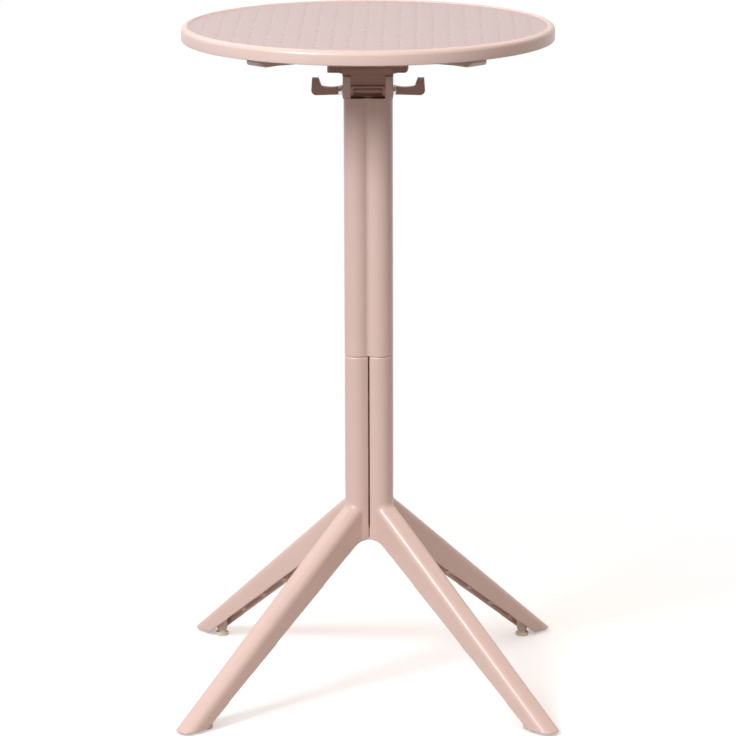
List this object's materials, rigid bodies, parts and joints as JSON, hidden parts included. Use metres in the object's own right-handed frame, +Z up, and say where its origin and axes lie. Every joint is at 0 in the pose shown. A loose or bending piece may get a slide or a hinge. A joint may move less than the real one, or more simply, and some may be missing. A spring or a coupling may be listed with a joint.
{
  "type": "folding bar table",
  "caption": "Tall round pedestal table of moulded resin with a folding top, bag hooks under it, a lobed column and splayed legs on screw-in feet.",
  "frame": {"origin": "on the floor, under the middle of the round top and of the column", "axes": "+Z up along the column, the front with the hinge towards -Y, +X to the right of a person who faces the front"},
  "size_m": [0.6144, 0.6144, 1.1],
  "materials": {
    "resin_top": "satin moulded resin, dimpled on the field",
    "resin": "satin moulded resin, dusty rose",
    "resin_frame": "satin glass-filled resin, taupe",
    "steel": "zinc plated",
    "tube": "black lacquered steel tube",
    "glide": "cream nylon",
    "insert": "turned"
  },
  "bodies": {
    "base": {"column_cap": "resin", "upper_column": "resin", "core_tube": "tube", "tie_rod": "steel", "rod_washers": "steel", "rod_nuts": "steel", "hinge_bolt": "steel", "hinge_washer": "steel", "hinge_nut": "steel", "lever_pin": "steel", "leg_front_left": "resin", "leg_front_right": "resin", "leg_rear_right": "resin", "leg_rear_left": "resin", "hub_plate": "steel", "hub_screws": "steel", "foot_inserts": "insert"},
    "top": {"top_panel": "resin_top", "top_screws": "steel", "top_spider": "resin", "head_bolts": "steel", "tilt_head": "resin_frame", "hinge_bushes": "glide"},
    "release": {"release_bar": "resin_frame", "hook_left": "resin_frame", "hook_right": "resin_frame", "hook_screws": "steel", "lever_spring": "steel"},
    "foot_a": {"foot_front_left": "glide"},
    "foot_b": {"foot_front_right": "glide"},
    "foot_c": {"foot_rear_right": "glide"},
    "foot_d": {"foot_rear_left": "glide"}
  },
  "joints": [
    {"name": "top_tilt", "type": "hinge", "parent": "base", "child": "top", "pos_m": [0, -0.027, 0.995], "axis": [1, 0, 0], "range_deg": [0, 90]},
    {"name": "release_lift", "type": "hinge", "parent": "base", "child": "release", "pos_m": [0, 0.024, 0.99], "axis": [-1, 0, 0], "range_deg": [0, 15], "stiffness_Nm_per_rad": 0.6, "springref_deg": -5.73},
    {"name": "foot_front_left_screw", "type": "slide", "parent": "base", "child": "foot_a", "axis": [0, 0, 1], "range_m": [-0.01, 0]},
    {"name": "foot_front_right_screw", "type": "slide", "parent": "base", "child": "foot_b", "axis": [0, 0, 1], "range_m": [-0.01, 0]},
    {"name": "foot_rear_right_screw", "type": "slide", "parent": "base", "child": "foot_c", "axis": [0, 0, 1], "range_m": [-0.01, 0]},
    {"name": "foot_rear_left_screw", "type": "slide", "parent": "base", "child": "foot_d", "axis": [0, 0, 1], "range_m": [-0.01, 0]}
  ]
}
